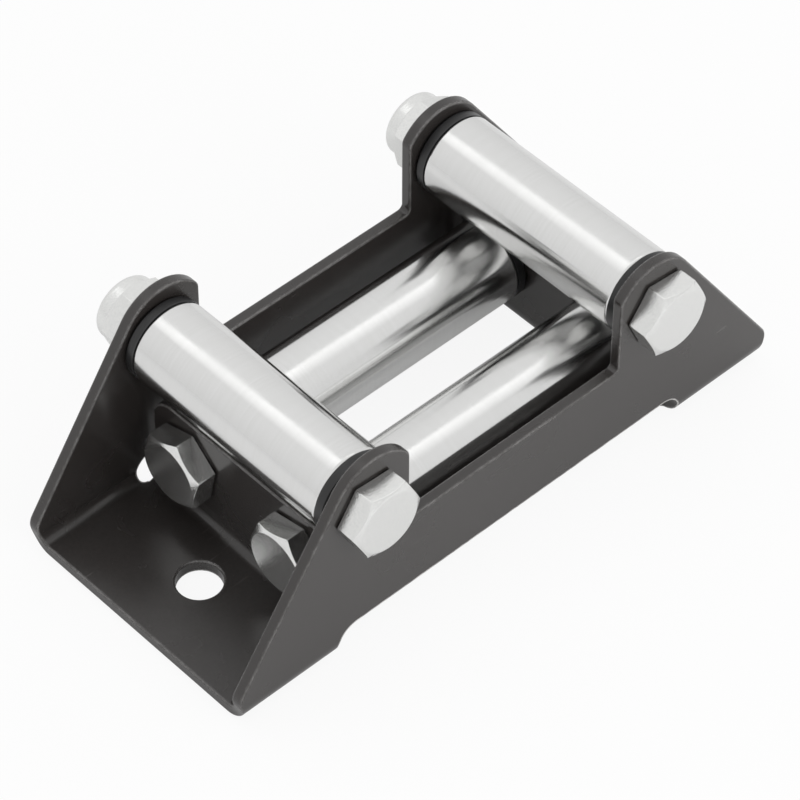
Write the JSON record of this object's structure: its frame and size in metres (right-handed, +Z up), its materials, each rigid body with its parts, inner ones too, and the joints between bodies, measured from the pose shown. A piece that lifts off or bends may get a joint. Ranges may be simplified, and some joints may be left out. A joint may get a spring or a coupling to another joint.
{
  "type": "roller fairlead",
  "caption": "Roller fairlead: folded steel frame with rounded ears, holding free-turning steel rollers on bolts with lock nuts around the passage of a winch rope.",
  "frame": {"origin": "midway between the two mounting holes, on the flat mounting face under the frame", "axes": "+X along the frame and the long rollers, from the long bolts' heads to their nuts; +Y across the frame along the cross rollers, from the cross bolts' heads to their nuts; +Z up from the mounting face to the ears"},
  "size_m": [0.162, 0.0889, 0.0568],
  "materials": {
    "frame": "satin black powder coat",
    "roller": "turned bright steel",
    "bush": "matte black nylon",
    "fastener": "bright zinc plate",
    "ring": "white nylon"
  },
  "bodies": {
    "frame": {"frame": "frame", "bolt_cross_left": "fastener", "nut_cross_left": "fastener", "ring_cross_left": "ring", "bolt_cross_right": "fastener", "nut_cross_right": "fastener", "ring_cross_right": "ring", "bolt_long_front": "fastener", "nut_long_front": "fastener", "ring_long_front": "ring", "bolt_long_back": "fastener", "nut_long_back": "fastener", "ring_long_back": "ring"},
    "cross_roller_left": {"roller_cross_left": "roller", "bush_cross_left_front": "bush", "bush_cross_left_back": "bush"},
    "cross_roller_right": {"roller_cross_right": "roller", "bush_cross_right_front": "bush", "bush_cross_right_back": "bush"},
    "long_roller_front": {"roller_long_front": "roller", "bush_long_front_left": "bush", "bush_long_front_right": "bush"},
    "long_roller_back": {"roller_long_back": "roller", "bush_long_back_left": "bush", "bush_long_back_right": "bush"}
  },
  "joints": [
    {"name": "cross_roller_left_turn", "type": "hinge", "parent": "frame", "child": "cross_roller_left", "pos_m": [-0.0434, 0, 0.0433], "axis": [0, 1, 0], "continuous": true},
    {"name": "cross_roller_right_turn", "type": "hinge", "parent": "frame", "child": "cross_roller_right", "pos_m": [0.0434, 0, 0.0433], "axis": [0, 1, 0], "continuous": true},
    {"name": "long_roller_front_turn", "type": "hinge", "parent": "frame", "child": "long_roller_front", "pos_m": [0, -0.0178, 0.0184], "axis": [1, 0, 0], "continuous": true},
    {"name": "long_roller_back_turn", "type": "hinge", "parent": "frame", "child": "long_roller_back", "pos_m": [0, 0.0178, 0.0184], "axis": [1, 0, 0], "continuous": true}
  ]
}
